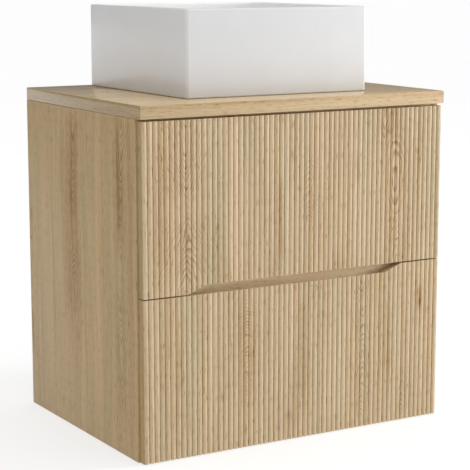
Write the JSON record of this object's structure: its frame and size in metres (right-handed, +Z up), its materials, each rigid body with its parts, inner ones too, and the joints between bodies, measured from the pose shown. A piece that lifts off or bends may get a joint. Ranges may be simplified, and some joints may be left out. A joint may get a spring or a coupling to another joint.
{
  "type": "bathroom vanity with vessel sink",
  "caption": "Wall-hung light oak vanity with fluted full-width drawers, a stepped finger pull and a square white vessel basin on its countertop.",
  "frame": {"origin": "middle of the footprint at the underside of the cabinet", "axes": "+Z up; the drawers open towards -Y and the wall is at +Y; +X to the right of someone facing the drawers"},
  "size_m": [0.6, 0.445, 0.733],
  "materials": {
    "light_oak_decor": "light oak decor with open grain, matt, fluted on the fronts",
    "drawer_melamine": "linen-grey melamine board, matt",
    "glazed_ceramic": "white gloss glaze",
    "zinc_plated_steel": "zinc-plated sheet",
    "chrome": "polished",
    "plated_brass": "nickel-plated, satin",
    "black_rubber": "matt",
    "white_plastic": "semi-gloss moulding"
  },
  "bodies": {
    "cabinet": {"back_bottom_rail": "light_oak_decor", "back_top_rail": "light_oak_decor", "basin": "glazed_ceramic", "basin_gasket": "black_rubber", "bottom_panel": "light_oak_decor", "countertop": "light_oak_decor", "front_top_rail": "light_oak_decor", "left_hanger_hook": "zinc_plated_steel", "left_hanger_housing": "white_plastic", "left_side_panel": "light_oak_decor", "lower_left_runner_cabinet": "zinc_plated_steel", "lower_right_runner_cabinet": "zinc_plated_steel", "middle_rail": "light_oak_decor", "right_hanger_hook": "zinc_plated_steel", "right_hanger_housing": "white_plastic", "right_side_panel": "light_oak_decor", "trap_cup": "chrome", "trap_dip_pipe": "chrome", "trap_head": "chrome", "trap_inlet_nut": "chrome", "trap_outlet_nut": "chrome", "trap_outlet_pipe": "chrome", "upper_left_runner_cabinet": "zinc_plated_steel", "upper_right_runner_cabinet": "zinc_plated_steel", "wall_rosette": "white_plastic", "waste_body": "plated_brass", "waste_flange": "chrome", "waste_lower_seal": "black_rubber", "waste_nut": "plated_brass", "waste_upper_seal": "black_rubber"},
    "upper_drawer": {"upper_box_back_left": "drawer_melamine", "upper_box_back_right": "drawer_melamine", "upper_box_bottom": "drawer_melamine", "upper_box_inner_front": "drawer_melamine", "upper_box_left_side": "drawer_melamine", "upper_box_right_side": "drawer_melamine", "upper_front": "light_oak_decor", "upper_front_screw_1": "zinc_plated_steel", "upper_front_screw_2": "zinc_plated_steel", "upper_left_runner_drawer": "zinc_plated_steel", "upper_right_runner_drawer": "zinc_plated_steel", "upper_trap_guard": "drawer_melamine"},
    "upper_runner_middles": {"upper_left_runner_middle": "zinc_plated_steel", "upper_right_runner_middle": "zinc_plated_steel"},
    "lower_drawer": {"lower_box_back": "drawer_melamine", "lower_box_bottom": "drawer_melamine", "lower_box_inner_front": "drawer_melamine", "lower_box_left_side": "drawer_melamine", "lower_box_right_side": "drawer_melamine", "lower_front": "light_oak_decor", "lower_front_screw_1": "zinc_plated_steel", "lower_front_screw_2": "zinc_plated_steel", "lower_left_runner_drawer": "zinc_plated_steel", "lower_right_runner_drawer": "zinc_plated_steel"},
    "lower_runner_middles": {"lower_left_runner_middle": "zinc_plated_steel", "lower_right_runner_middle": "zinc_plated_steel"},
    "waste_plug": {"waste_plug": "chrome"}
  },
  "joints": [
    {"name": "upper_drawer_slide", "type": "slide", "parent": "cabinet", "child": "upper_drawer", "axis": [0, -1, 0], "range_m": [0, 0.35]},
    {"name": "upper_runner_slide", "type": "slide", "parent": "cabinet", "child": "upper_runner_middles", "axis": [0, -1, 0], "range_m": [0, 0.175]},
    {"name": "lower_drawer_slide", "type": "slide", "parent": "cabinet", "child": "lower_drawer", "axis": [0, -1, 0], "range_m": [0, 0.35]},
    {"name": "lower_runner_slide", "type": "slide", "parent": "cabinet", "child": "lower_runner_middles", "axis": [0, -1, 0], "range_m": [0, 0.175]},
    {"name": "waste_plug_lift", "type": "slide", "parent": "cabinet", "child": "waste_plug", "axis": [0, 0, 1], "range_m": [0, 0.008]}
  ],
  "couplings": [
    {"joint": "upper_runner_slide", "follows": "upper_drawer_slide", "ratio": 0.5},
    {"joint": "lower_runner_slide", "follows": "lower_drawer_slide", "ratio": 0.5}
  ]
}
